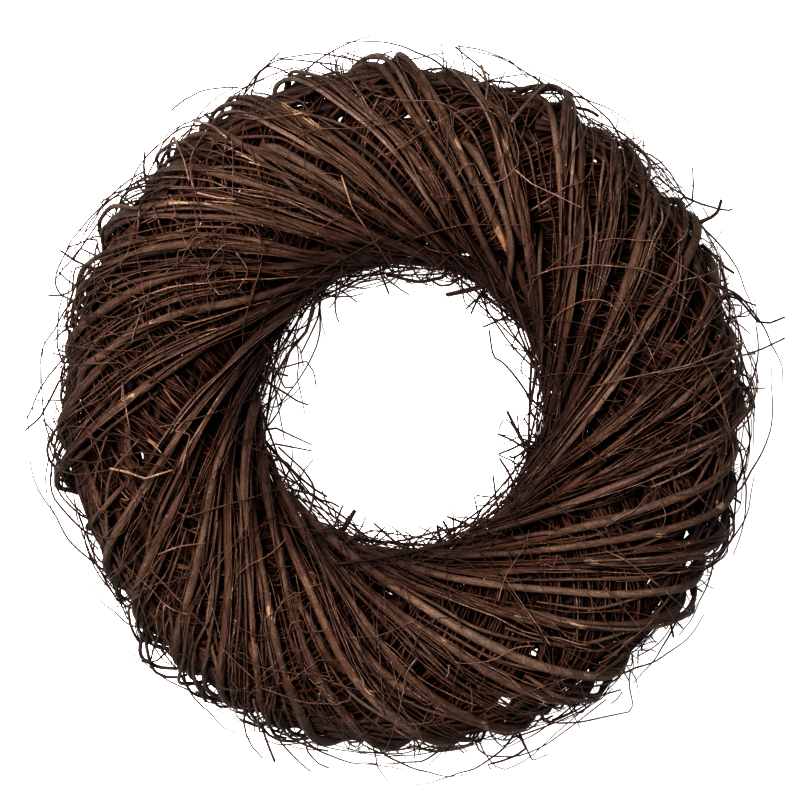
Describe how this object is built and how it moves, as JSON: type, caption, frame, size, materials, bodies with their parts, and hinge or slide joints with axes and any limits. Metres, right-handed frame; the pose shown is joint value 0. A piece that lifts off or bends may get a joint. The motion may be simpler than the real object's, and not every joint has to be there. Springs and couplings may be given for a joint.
{
  "type": "wicker wreath",
  "caption": "Round wicker wreath: a ring of packed brushwood wound round with bark-on rods, with loose twigs at both rims and an open middle.",
  "frame": {"origin": "on the supporting surface, under the middle of the hole", "axes": "+Z up out of the show side, which is the axis of the ring; the wreath lies flat on its back. +Y is up in the picture"},
  "size_m": [0.4368, 0.4368, 0.0923],
  "materials": {
    "brushwood": "matte fine twigs with bark",
    "rod_bark": "matte grey-brown bark",
    "under_rod_bark": "matte grey-brown bark"
  },
  "bodies": {
    "root": {"brushwood_core": "brushwood", "front_rod_01": "rod_bark", "front_rod_02": "rod_bark", "front_rod_03": "rod_bark", "front_rod_04": "rod_bark", "front_rod_05": "rod_bark", "front_rod_06": "rod_bark", "front_rod_07": "rod_bark", "front_rod_08": "rod_bark", "front_rod_09": "rod_bark", "front_rod_10": "rod_bark", "front_rod_11": "rod_bark", "front_rod_12": "rod_bark", "front_rod_13": "rod_bark", "front_rod_14": "rod_bark", "front_rod_15": "rod_bark", "front_rod_16": "rod_bark", "front_rod_17": "rod_bark", "front_rod_18": "rod_bark", "front_rod_19": "rod_bark", "front_rod_20": "rod_bark", "front_rod_21": "rod_bark", "front_rod_22": "rod_bark", "front_rod_23": "rod_bark", "front_rod_24": "rod_bark", "front_rod_25": "rod_bark", "front_rod_26": "rod_bark", "front_rod_27": "rod_bark", "front_rod_28": "rod_bark", "front_rod_29": "rod_bark", "front_rod_30": "rod_bark", "front_rod_31": "rod_bark", "front_rod_32": "rod_bark", "front_rod_33": "rod_bark", "front_rod_34": "rod_bark", "front_rod_35": "rod_bark", "front_rod_36": "rod_bark", "back_rod_01": "under_rod_bark", "back_rod_02": "under_rod_bark", "back_rod_03": "under_rod_bark", "back_rod_04": "under_rod_bark", "back_rod_05": "under_rod_bark", "back_rod_06": "under_rod_bark", "back_rod_07": "under_rod_bark", "back_rod_08": "under_rod_bark", "back_rod_09": "under_rod_bark", "back_rod_10": "under_rod_bark", "back_rod_11": "under_rod_bark", "back_rod_12": "under_rod_bark", "back_rod_13": "under_rod_bark", "back_rod_14": "under_rod_bark", "back_rod_15": "under_rod_bark", "back_rod_16": "under_rod_bark", "back_rod_17": "under_rod_bark", "back_rod_18": "under_rod_bark", "back_rod_19": "under_rod_bark", "back_rod_20": "under_rod_bark", "back_rod_21": "under_rod_bark", "back_rod_22": "under_rod_bark", "back_rod_23": "under_rod_bark"}
  },
  "joints": []
}
